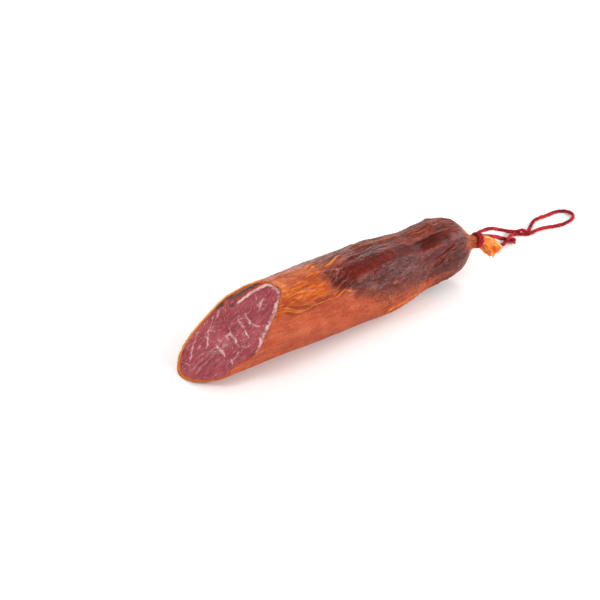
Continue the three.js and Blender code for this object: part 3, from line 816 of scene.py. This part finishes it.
# the skin itself goes on under the twine and closes there
for where, shrink in ((1.5, 1.0), (3.0, 0.95), (4.5, 0.7), (5.0, 0.35)):
    addRow(tailRow(where, shrink)[0], none, none, edgeZones, noNeckAndSheen + (1, 0, 0))
for title, values in skinRows.items():
    first, last = values[0].mean(0, keepdims=True), values[-1].mean(0, keepdims=True)
    skinRows[title] = np.concatenate([first, *values, last])
skinRows["points"][:, 2] = np.maximum(skinRows["points"][:, 2], 0.0)
bodyCount = (len(skinRows["points"]) - 2) // around
print("casing rows", bodyCount, "triangles", 2 * bodyCount * around)


def paprikaGut():
    # dried gut is a thin horn-like skin: salmon and orange where oil and paprika lie on it,
    # mahogany and glassy where it dried hard against lean meat, with a painted greyish sheen where highlights
    # fall
    material, tree = newMaterial("paprikaRubbedGut")
    place = addNode(tree, "ShaderNodeTexCoord", output="Object")
    zones, neckAndSheen = [addNode(tree, "ShaderNodeAttribute", output="Vector", attribute_name=n)
                     for n in ("zones", "neckAndSheen")]
    zones = addNode(tree, "ShaderNodeSeparateXYZ", {0: zones}).node.outputs
    neck, paintedSheenAt = addNode(tree, "ShaderNodeSeparateXYZ", {0: neckAndSheen}).node.outputs[:2]
    highlightAndOil, shadeAndDarkBand = [addNode(tree, "ShaderNodeAttribute", output="Fac", attribute_name=n)
                  for n in ("highlightAndOil", "shadeAndDarkBand")]
    # streaks and wisps are drawn out four times along the loin; flakes of the painted sheen lean with the
    # wrinkles
    runPlace = addNode(tree, "ShaderNodeMapping", {"Vector": place, "Scale": (0.24, 1, 1)})
    sheenFlakePlace = addNode(tree, "ShaderNodeMapping",
                         {"Vector": place, "Rotation": (0, 0.12, 0.2), "Scale": (0.36, 1, 1)})
    streak, blotch, grain, freckle, wisp, sheenFlakes = [
        addNode(tree, "ShaderNodeTexNoise", {"Vector": at, "Scale": size, "Detail": detail, "Roughness": rough})
        for at, size, detail, rough in (
            (runPlace, 170, 5, 0.65),  # streaks 6 mm across and 25 mm long
            (place, 70, 4, 0.6),  # blotches of 14 mm
            (place, 1100, 2, 0.6),  # paprika grains up to 1 mm
            (place, 360, 3, 0.65),  # freckles of 3 mm
            (runPlace, 620, 3, 0.6),  # wisps 1.6 mm across
            (sheenFlakePlace, 330, 5, 0.7))]  # flakes 3 mm across
    salmon = layTints(tree, "#A24020", [
        (blotch, 0.36, 0.66, 1.0, "#B64F2A"), (streak, 0.5, 0.74, 0.6, "#C87248"),
        (streak, 0.48, 0.3, 0.55, "#94361C"), (wisp, 0.5, 0.74, 0.34, "#CC8264")])
    bright = layTints(tree, "#A43A0C", [
        (streak, 0.36, 0.6, 1.0, "#C8560A"), (wisp, 0.5, 0.68, 0.62, "#E4822C"),
        (blotch, 0.48, 0.3, 0.55, "#96300C")])
    hard = layTints(tree, "#480A05", [
        (streak, 0.4, 0.68, 1.0, "#6C1608"), (blotch, 0.5, 0.72, 0.6, "#8C2C12"),
        (freckle, 0.56, 0.74, 0.5, "#96341A")])
    colour = layTints(tree, salmon, [(zones[0], 0.1, 0.8, 1.0, bright)])
    # the dark skin breaks up into streaks and blotches where it thins out
    edge, paintedSheen, spots, cracks, gloss, height, smoothSkin = [
        addNode(tree, "ShaderNodeMath", {0: part, 1: share, 2: whole}, operation="MULTIPLY_ADD")
        for part, share, whole in (
            (streak, 0.9, zones[1]), (paintedSheenAt, 0.26, sheenFlakes), (zones[2], 0.22, freckle), (zones[2], 0.2, wisp),
            (blotch, 0.5, zones[1]), (grain, 0.35, wisp), (paintedSheenAt, -0.8, zones[1]))]
    edge = addNode(tree, "ShaderNodeMath", {0: freckle, 1: 0.5, 2: edge}, operation="MULTIPLY_ADD")
    colour = layTints(tree, colour, [(edge, 0.72, 1.5, 1.0, hard)])
    # colours for the painted highlight on crests, which also marks the oil at the cut, for the painted sheen,
    # and for the painted shade in valleys; each darker on the dark skin
    highlightAndOilTone = layTints(tree, "#FB9A2E", [(zones[1], 0.25, 0.8, 1.0, "#AE4418")])
    paintedSheenTone = layTints(tree, "#DC9C7C", [(zones[1], 0.2, 0.75, 1.0, "#7C5250")])
    sunk = layTints(tree, "#802C0C", [(zones[1], 0.15, 0.7, 1.0, "#2E0906")])
    colour = layTints(tree, colour, [
        (freckle, 0.56, 0.72, 0.4, "#8A3216"),
        (cracks, 0.62, 0.8, 0.7, "#54211A"),
        (spots, 0.7, 0.84, 0.8, "#45201A"),
        # painted sheen: a greyish veil where highlights fall
        (paintedSheen, 0.64, 0.84, 0.62, paintedSheenTone),
        (wisp, 0.44, 0.3, 0.65, sunk),
        # painted shade in the valleys, which also darkens the far band
        (shadeAndDarkBand, 0.1, 0.9, 0.75, sunk),
        # painted highlight on the crease tops, and the oily brightness at the cut
        (highlightAndOil, 0.2, 0.92, 0.85, highlightAndOilTone),
        (grain, 0.55, 0.8, 0.14, "#D08048"),
    ])
    # the bare neck has its own tones, with a painted highlight on its pleats and painted shade between them
    neckTone = layTints(tree, "#7E2C0C", [
        (streak, 0.4, 0.62, 1.0, "#A44A18"), (highlightAndOil, 0.15, 0.85, 0.8, "#BC6C30"),
        (shadeAndDarkBand, 0.1, 0.9, 0.6, "#521A0A")])
    colour = layTints(tree, colour, [(neck, 0.15, 0.9, 1.0, neckTone)])
    # skin that dried hard is glassy and even, the rest is dull and grainy with paprika
    rough = addNode(tree, "ShaderNodeMapRange", {0: gloss, 1: 0.3, 2: 1.2, 3: 0.55, 4: 0.25})
    height = addNode(tree, "ShaderNodeMath", {0: freckle, 1: 0.9, 2: height}, operation="MULTIPLY_ADD")
    calm = addNode(tree, "ShaderNodeMapRange", {0: smoothSkin, 1: 0.1, 2: 0.9, 3: 1.0, 4: 0.4})
    height = addNode(tree, "ShaderNodeMath", {0: height, 1: calm}, operation="MULTIPLY")
    bump = addNode(tree, "ShaderNodeBump", {"Height": height, "Strength": 0.9, "Distance": 0.0013})
    shader = addNode(tree, "ShaderNodeBsdfPrincipled", {
        "Base Color": colour, "Roughness": rough, "Normal": bump, "IOR": 1.5, "Specular IOR Level": 0.2,
        "Subsurface Weight": 0.06, "Subsurface Scale": 0.0012, "Subsurface Radius": (1.0, 0.35, 0.12)})
    addNode(tree, "ShaderNodeOutputMaterial", {0: shader})
    return material


def thinGut():
    # past the twine the gut is bare and thin, so light goes through it and it looks amber
    material, tree = newMaterial("thinDriedGut")
    place = addNode(tree, "ShaderNodeTexCoord", output="Object")
    highlightAndOil = addNode(tree, "ShaderNodeAttribute", output="Fac", attribute_name="highlightAndOil")
    # clouds of 4 mm and paprika specks of 1.4 mm
    cloud, speck = [
        addNode(tree, "ShaderNodeTexNoise", {"Vector": place, "Scale": size, "Detail": detail, "Roughness": 0.6})
        for size, detail in ((260, 4), (700, 2))]
    # pale on the pleat crests: a painted highlight
    colour = layTints(tree, "#D8600A", [
        (cloud, 0.4, 0.62, 1.0, "#EE8A1E"), (highlightAndOil, 0.2, 0.8, 0.6, "#F6B468"),
        (speck, 0.6, 0.74, 0.7, "#A23C0C")])
    bump = addNode(tree, "ShaderNodeBump", {"Height": speck, "Strength": 0.5, "Distance": 0.0004})
    shader = addNode(tree, "ShaderNodeBsdfPrincipled", {
        "Base Color": colour, "Roughness": 0.42, "Normal": bump, "IOR": 1.5, "Subsurface Weight": 0.4,
        "Subsurface Scale": 0.003, "Subsurface Radius": (1.0, 0.4, 0.12)})
    addNode(tree, "ShaderNodeOutputMaterial", {0: shader})
    return material


skinPoints = toRow(skinRows.pop("points"))
skinPiece = meshFrom("guttedCasing", skinPoints, loftFaces(bodyCount, around), skinRows, paprikaGut())

# the ruffled tail, out to its open end and back inside it
around = casing["tailAround"]
turn = np.arange(around) * 2 * math.pi / around
rows = [tailRow(where) for where in np.linspace(2.0, knots[-1], casing["tailRows"])]
rows += [tailRow(knots[-1] - back, shrink) for back, shrink in
         ((0.1, 0.95), (0.9, 0.9), (2.2, 0.84), (4.0, 0.76), (6.5, 0.64), (9, 0.45), (10, 0.2))]
points = np.concatenate([[rows[0][0].mean(0)], *[r[0] for r in rows], [rows[-1][0].mean(0)]])
highlightAndOil = np.concatenate([[0], *[r[1] for r in rows], [0]])
tailPiece = meshFrom("ruffledTail", toRow(points), loftFaces(len(rows), around), {"highlightAndOil": highlightAndOil}, thinGut())
for piece in (skinPiece, tailPiece):
    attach(piece, "root")
    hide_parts("casing")

# Cured lean pork sliced with a long knife: fine-grained burgundy meat with thin branching
# fat, faint drag lines along the cut, a fat rim on one side and a darker folded side muscle.
meat = {
    "around": 440, "rings": 106,
    # fat lines on the cut face: (across, up the slope) in mm, width, strength
    "veins": [
        ([(21.5, 1.0), (21.1, 0.2), (17.6, -5.9), (13.7, -11.7), (9.4, -16.2), (7.4, -18.6)], 0.55, 0.75),
        ([(23.8, -14.5), (20.4, -21.2), (15.7, -28.5), (12, -32.8), (9.5, -35.2), (5.2, -40.7)], 0.5, 0.62),
        ([(15.4, -37.2), (12, -36.4), (9.2, -36.1)], 0.6, 0.5),
        ([(5.0, 15.1), (2.5, 12.5), (-2.4, 11.4), (-6.7, 10.2), (-11.0, 8.2), (-17.0, 6.1)], 0.55, 0.8),
        ([(1.4, 19.6), (0.7, 18.6), (-4, 17.2), (-8.1, 16.0), (-12, 15.8), (-16.1, 16.8), (-20.9, 20.6)],
         0.6, 0.85),
        ([(-1.4, 37.0), (-4.0, 32.5), (-6.7, 28.2)], 0.8, 0.72),
        ([(-1.7, 30.2), (-4.2, 30.0), (-6.7, 29.4)], 0.55, 0.6),
        ([(-4.5, 32.6), (-8, 33.4), (-12.2, 33.2)], 0.5, 0.5),
        ([(5.2, 5.2), (3.3, 3.3), (-0.5, 0.5), (-4, -0.2), (-7.6, -0.9), (-12, -2.4), (-17.5, -3.9)],
         0.6, 0.85),
        ([(2.0, -3.0), (0.2, -1.6), (-0.9, 0.4), (0.8, 2.4)], 0.85, 0.8),
        ([(-0.4, 0.6), (0.4, -2.9), (-3.9, -3.7), (-6, -1.2)], 0.5, 0.6),
        ([(2.6, -12.4), (1.0, -12.8), (-3.8, -13.7), (-8, -14.2), (-11.4, -14.9)], 0.75, 0.9),
        ([(14.0, -23.0), (13.9, -21.3), (13.4, -18.8)], 0.7, 0.6),
        ([(-18.2, -6.4), (-19.4, -7.9), (-20.4, -10.4), (-19.7, -14.5)], 0.6, 0.75),
        ([(-20.4, -10.4), (-22.8, -9.8), (-25.3, -10.1)], 0.5, 0.6),
        ([(-18.2, -14.4), (-20.7, -15.9), (-23.4, -17.3)], 0.6, 0.7),
        ([(23.3, 10.1), (22.2, 7.7), (20.6, 6.0)], 0.8, 0.8),
        ([(25.0, 4.4), (22.4, 2.4), (21.2, 0.6)], 0.5, 0.6),
        ([(6.6, 36.6), (5.0, 35.4), (2.2, 33.3)], 0.5, 0.6),
        ([(6.3, 29.5), (4.8, 31.8)], 0.6, 0.5),
        ([(-12.4, -0.6), (-14.6, 3.2), (-16.8, 6.0)], 0.4, 0.4),
    ],
    # long pale smears where the knife pulled fat along the cut
    "smears": [
        ([(-1.5, -44), (-0.8, -30), (-3.0, -14), (-5.6, 4)], 2.0, 0.32),
        ([(3.6, -44), (4.0, -30), (2.2, -15), (0.4, -3)], 1.5, 0.3),
        ([(-7, -38), (-8.5, -24), (-11, -10)], 1.3, 0.26),
        ([(8.4, -40), (8.4, -26), (6.6, -12)], 1.3, 0.24),
        ([(-3.4, 14), (-7.6, 24)], 0.8, 0.2),
    ],
    # the strip of fat beside the folded side muscle, the pale line on that, and its seams
    "fatStrip": [(14.6, 21.4), (13.9, 24.4), (12.6, 30.4), (10.4, 36.4), (8.0, 42.0), (4.6, 47.4), (0.6, 49.0)],
    "paleLine": [(23.3, 23.8), (21.8, 28.1), (19.6, 32.9), (17.3, 37.6), (14.8, 42.0), (12.1, 45.5)],
    "seam": [(23.3, 19.4), (20.4, 22.2), (17.2, 27.3), (14.8, 32.9), (12.6, 37.7), (10.4, 42.4),
             (7.8, 46.8), (5.4, 49.4)],
    "outerSeam": [(27.5, 21.3), (25.2, 25.2), (22.6, 30.2), (19.6, 36.0), (16.2, 41.6)],
    "shortSeam": [(23.4, 19.6), (21.4, 17.4), (18.6, 14.9), (15.8, 12.6), (13.4, 10.4)],
    # dry lumps: across, up the slope, radius
    "darkLumps": [(25.6, 15.2, 2.5), (17.3, 18.6, 2.1), (26.8, 11.8, 2.0)],
    "streaks": 300, "rimFat": 4.4, "gap": 0.04, "rimLift": 1.15, "lift": 1.3, "innerDepth": 1.9,
}
print("shaping the meat")
around = meat["around"]
sweep = np.arange(around) * 2 * math.pi / around
# the meat meets the gut with a hair's gap at the rim, and sinks clear of it further in
rimProud = edgeProud - wallAt - meat["gap"]
rim = skinPoint(cutAt(sweep, rimProud, meat["rimLift"]), sweep, rimProud, meat["rimLift"])
heart = rim.mean(0)
lean = loin["cutLean"]
faceNormal = np.array([-1, loin["cutSkew"], lean])
faceNormal /= np.linalg.norm(faceNormal)
spread = np.linspace(0, 1, meat["rings"] + 1)[1:] ** 0.92
disc = np.concatenate([heart + (rim - heart) * t for t in spread])
# millimetres across the cut face and up its slope, and distance from the rim
u, v = disc[:, 1], math.hypot(1, lean) * (disc[:, 2] - loin["cutZ"])
toRim = np.repeat(1 - spread, around) * np.tile(np.linalg.norm(rim - heart, axis=1), meat["rings"])


# random values on the cut face, in cells of one size
def onCut(cell, seed, stretch=1.0):
    return cellNoise(np.stack([u / cell, v / (cell * stretch), np.full_like(u, 3.7)], -1), seed)


wu = u + 0.55 * onCut(2.1, 71) + 0.3 * onCut(0.9, 72)
wv = v + 0.55 * onCut(2.1, 73) + 0.3 * onCut(0.9, 74)
fat = np.zeros_like(u)
widthNoise, fade = onCut(1.7, 75), 0.75 + 0.45 * onCut(2.6, 86)
for line, width, strength in meat["veins"]:
    d, side, share = fromLine(wu, wv, line)
    w = 1.5 * width * (0.8 + 0.6 * widthNoise) * (0.45 + between(share, 0, 0.3, 0.6, 1))
    fat = np.maximum(fat, strength * fade * np.exp(-(d / w.clip(0.2)) ** 1.6))
for line, width, strength in meat["smears"]:
    d, side, share = fromLine(wu, wv, line)
    fat = np.maximum(fat, strength * np.exp(-(d / width) ** 2) * between(share, 0, 0.2, 0.7, 1))
# fat that lies in soft clouds between the lines
cloud = smooth(onCut(4.5, 89, 1.6) + 0.6 * onCut(1.6, 90), 0.1, 0.9)
fat = np.maximum(fat, 0.36 * cloud * np.exp(-((u - 2) / 17) ** 2 - ((v + 2) / 26) ** 2))
# smaller streaks between the big ones
rng = np.random.default_rng(8)
for i in range(meat["streaks"]):
    cu, cv = rng.uniform(-30, 27), rng.uniform(-44, 46)
    long, lay = rng.uniform(1.2, 5.0), rng.normal(1.75, 0.7)
    bend = rng.uniform(-0.6, 0.6)
    line = [(cu + long * t * math.cos(lay + bend * t), cv + long * t * math.sin(lay + bend * t))
            for t in (-0.5, -0.1, 0.25, 0.5)]
    near = (np.abs(u - cu) < 7) & (np.abs(v - cv) < 7)
    d, side, share = fromLine(wu[near], wv[near], line)
    w = rng.uniform(0.25, 0.55) * (1 - 0.6 * np.abs(share * 2 - 1))
    fat[near] = np.maximum(fat[near], rng.uniform(0.15, 0.6) * np.exp(-(d / w) ** 2))
# the fat rim, of uneven width, on one side only
bearing = np.degrees(np.arctan2(v, u)) % 360
rimWidth = meat["rimFat"] * between(bearing, 84, 100, 164, 190)
rimWidth = rimWidth * (1 + 0.4 * onCut(5, 76) + 0.4 * onCut(1.5, 77))
rimFat = 1 - smooth(toRim + 0.9 * onCut(1.2, 78), rimWidth * 0.45, rimWidth * 1.15 + 0.2)
rimFat = rimFat * (0.56 + 0.3 * onCut(1.4, 87) + 0.25 * onCut(4, 88))
fat = np.maximum(fat, np.where(rimWidth > 0.3, rimFat, 0))
d, side, share = fromLine(wu, wv, meat["fatStrip"])
strip = 1 - smooth(d, 0.7 + 0.9 * share, 1.2 + 1.1 * share)
fat = np.maximum(fat, strip * smooth(share, 0, 0.1) * (0.85 + 0.3 * onCut(2.2, 79)))
d, side, share = fromLine(wu, wv, meat["paleLine"])
fat = np.maximum(fat, 0.45 * np.exp(-(d / 0.65) ** 2) * between(share, 0, 0.1, 0.8, 1))
seamTone, groove = np.zeros_like(u), np.zeros_like(u)
for key, width, strength in (("seam", 0.75, 1.0), ("outerSeam", 0.6, 0.9), ("shortSeam", 0.55, 0.85)):
    d, side, share = fromLine(wu, wv, meat[key])
    line = np.exp(-(d / (width * (1 + 0.4 * onCut(2, 80)))) ** 2) * between(share, 0, 0.06, 0.9, 1)
    seamTone, groove = np.maximum(seamTone, strength * line), np.maximum(groove, line)
# the side muscle outside the seam is darker and drier
d, side, share = fromLine(u, v, meat["seam"])
flap = smooth(-side * d, 0.3, 1.4) * smooth(v, 18, 22) * (1 - smooth(share, 0.93, 1.0))
dry = flap * smooth(onCut(2.4, 81, 3), -0.9, -0.1)
for cu, cv, size in meat["darkLumps"]:
    dry = np.maximum(dry, 0.9 * np.exp(-(((wu - cu) ** 2 + (wv - cv) ** 2) / size**2) ** 2))
# knife drag lines up the slope, about 1 mm apart
drag = cellNoise(np.stack([(u + 0.06 * v) / 0.85, v / 60, np.zeros_like(u)], -1), 82)
press = 0.1 * drag + 0.35 * onCut(14, 83, 1.5) + 0.14 * onCut(3.0, 84) + 0.06 * onCut(0.8, 85)
press = press + 0.16 * fat - 0.8 * groove + 0.4 * flap
press = press * smooth(toRim, 0, 1.6) - 0.1 - 0.15 * (1 - smooth(toRim, 0, 2.2))
disc = disc + press[:, None] * faceNormal
meatRows = [disc[i * around:(i + 1) * around] for i in range(meat["rings"])]
# the hidden side of the meat, under the gut, and its rounded end
for s in (0.012, 0.04, 0.1, *meatShares[3:]):
    hide = 1 - math.exp(-s / casing["settle"])
    x = rim[:, 0] + (loin["meatEnd"] - rim[:, 0]) * s
    sunk = rimProud * (1 - hide) - hide * (casing["wall"] + meat["innerDepth"])
    meatRows.append(skinPoint(x, sweep, sunk, meat["lift"]))
for t in domeAngles:
    p = skinPoint(np.full(around, loin["meatEnd"]), sweep, -2.85, 1.4, math.cos(t * deg))
    p[:, 0] = loin["meatEnd"] + loin["meatDome"] * math.sin(t * deg)
    meatRows.append(p)
meatPoints = np.concatenate([[heart], *meatRows, [meatRows[-1].mean(0)]])
hidden = np.zeros(len(meatPoints) - 1 - len(disc))
onFace = {key: np.concatenate([values[:1], values, hidden])
          for key, values in (("fat", fat), ("seam", seamTone), ("dry", dry))}
onFace["cutPlace"] = np.stack([np.concatenate([[0], c, hidden]) / 1000 for c in (u, v, u * 0)], -1)


def curedLean():
    # cured lean is translucent and slightly moist: burgundy muscle bundles with pale fat
    # smeared thinly over them, and brown where a dried seam was folded in
    material, tree = newMaterial("curedLeanPork")
    cut = addNode(tree, "ShaderNodeAttribute", output="Vector", attribute_name="cutPlace")
    fatAt, seamAt, dryAt = [addNode(tree, "ShaderNodeAttribute", output="Fac", attribute_name=n)
                            for n in ("fat", "seam", "dry")]
    # bundles are drawn out a little up the slope, and the knife lines all along it
    bundlePlace = addNode(tree, "ShaderNodeMapping", {"Vector": cut, "Scale": (1, 0.5, 1)})
    dragPlace = addNode(tree, "ShaderNodeMapping",
                        {"Vector": cut, "Rotation": (0, 0, -0.06), "Scale": (1, 0.06, 1)})
    bundle, patch, drag, grain, speck = [
        addNode(tree, "ShaderNodeTexNoise", {"Vector": at, "Scale": size, "Detail": detail, "Roughness": rough})
        for at, size, detail, rough in (
            (bundlePlace, 170, 5, 0.65),  # muscle bundles of 6 mm with finer ones in them
            (cut, 50, 3, 0.5),  # patches of 20 mm
            (dragPlace, 900, 3, 0.6),  # knife lines about 1 mm apart
            (cut, 1400, 3, 0.65),  # fibres under 1 mm
            (bundlePlace, 620, 4, 0.7))]  # specks of fat of 1.6 mm
    colour = layTints(tree, "#82212D", [
        (bundle, 0.36, 0.66, 1.0, "#A83C48"),
        (patch, 0.42, 0.7, 0.55, "#BC585E"),
        (drag, 0.52, 0.76, 0.26, "#CC8A88"),
        (drag, 0.5, 0.34, 0.2, "#741E2A"),
        (speck, 0.52, 0.74, 0.55, "#D49492"),
        (speck, 0.46, 0.3, 0.45, "#70202A"),
        (grain, 0.5, 0.8, 0.2, "#D08480"),
    ])
    dryTone = layTints(tree, "#4E2A24", [(bundle, 0.36, 0.64, 1.0, "#74473C")])
    breaks = addNode(tree, "ShaderNodeMapRange", {0: speck, 1: 0.3, 2: 0.6, 3: 0.7, 4: 1.15})
    broken = addNode(tree, "ShaderNodeMath", {0: fatAt, 1: breaks}, operation="MULTIPLY")
    fatTone = layTints(tree, "#DCA8A6", [(patch, 0.35, 0.65, 1.0, "#F6DAD6")])
    colour = layTints(tree, colour, [
        (dryAt, 0.1, 0.8, 1.0, dryTone), (broken, 0.08, 0.95, 0.95, fatTone),
        (seamAt, 0.25, 0.8, 1.0, "#B8430F")])
    rough = addNode(tree, "ShaderNodeMapRange", {0: bundle, 1: 0.3, 2: 0.7, 3: 0.42, 4: 0.58})
    height = addNode(tree, "ShaderNodeMath", {0: drag, 1: 0.6, 2: grain}, operation="MULTIPLY_ADD")
    bump = addNode(tree, "ShaderNodeBump", {"Height": height, "Strength": 0.4, "Distance": 0.0004})
    shader = addNode(tree, "ShaderNodeBsdfPrincipled", {
        "Base Color": colour, "Roughness": rough, "Normal": bump, "IOR": 1.42,
        "Subsurface Weight": 0.15, "Subsurface Scale": 0.0015, "Subsurface Radius": (1.0, 0.25, 0.2)})
    addNode(tree, "ShaderNodeOutputMaterial", {0: shader})
    return material


meatPiece = meshFrom("curedMeat", toRow(meatPoints), loftFaces(len(meatRows), around), onFace, curedLean())
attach(meatPiece, "root")
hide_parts("cured_loin")
print("meat points", len(meatPoints))

# Studio: pale board, white walls all round and a dimmer ceiling, so that only the sides gleam.
half = studio["floorSize"] / 2
floorMesh = bpy.data.meshes.new("studioFloor")
corners = [(-half, -half, 0), (half, -half, 0), (half, half, 0), (-half, half, 0)]
floorMesh.from_pydata(corners, [], [(0, 1, 2, 3)])
floor = addObject("studioFloor", floorMesh)
floorMaterial, floorTree = newMaterial("paintedBoard")
paint = addNode(floorTree, "ShaderNodeBsdfPrincipled",
                {"Base Color": hexToLinear(studio["floorTone"]), "Roughness": 0.8})
addNode(floorTree, "ShaderNodeOutputMaterial", {0: paint})
floorMesh.materials.append(floorMaterial)

# name, azimuth, elevation, distance, width, height, watts
for name, azimuth, elevation, distance, wide, high, watts in (
        ("frontRightBox", 36, 25, 1.2, 0.45, 0.28, 9),
        ("farRightBox", 80, 20, 1.3, 0.4, 0.35, 5),
        ("leftBox", -88, 46, 1.5, 0.7, 0.7, 8),
        ("backBox", 146, 26, 1.8, 1.1, 0.45, 15)):
    light = bpy.data.lights.new(name, "AREA")
    light.shape, light.size, light.size_y, light.energy = "RECTANGLE", wide, high, watts
    aimFrom(addObject(name, light), azimuth, elevation, distance)

world = bpy.data.worlds.new("paleRoom")
bpy.context.scene.world = world
world.use_nodes = True
world.node_tree.nodes.clear()
ray = addNode(world.node_tree, "ShaderNodeTexCoord", output="Generated")
up = addNode(world.node_tree, "ShaderNodeSeparateXYZ", {0: ray}, 2)
shade = addNode(world.node_tree, "ShaderNodeMapRange", {0: up, 1: 0.15, 2: 0.75, 3: 1.04, 4: 0.44},
                interpolation_type="SMOOTHSTEP")
sky = addNode(world.node_tree, "ShaderNodeBackground", {0: (1, 1, 1, 1), 1: shade})
addNode(world.node_tree, "ShaderNodeOutputWorld", {0: sky})
bpy.context.scene.view_settings.view_transform = "Standard"
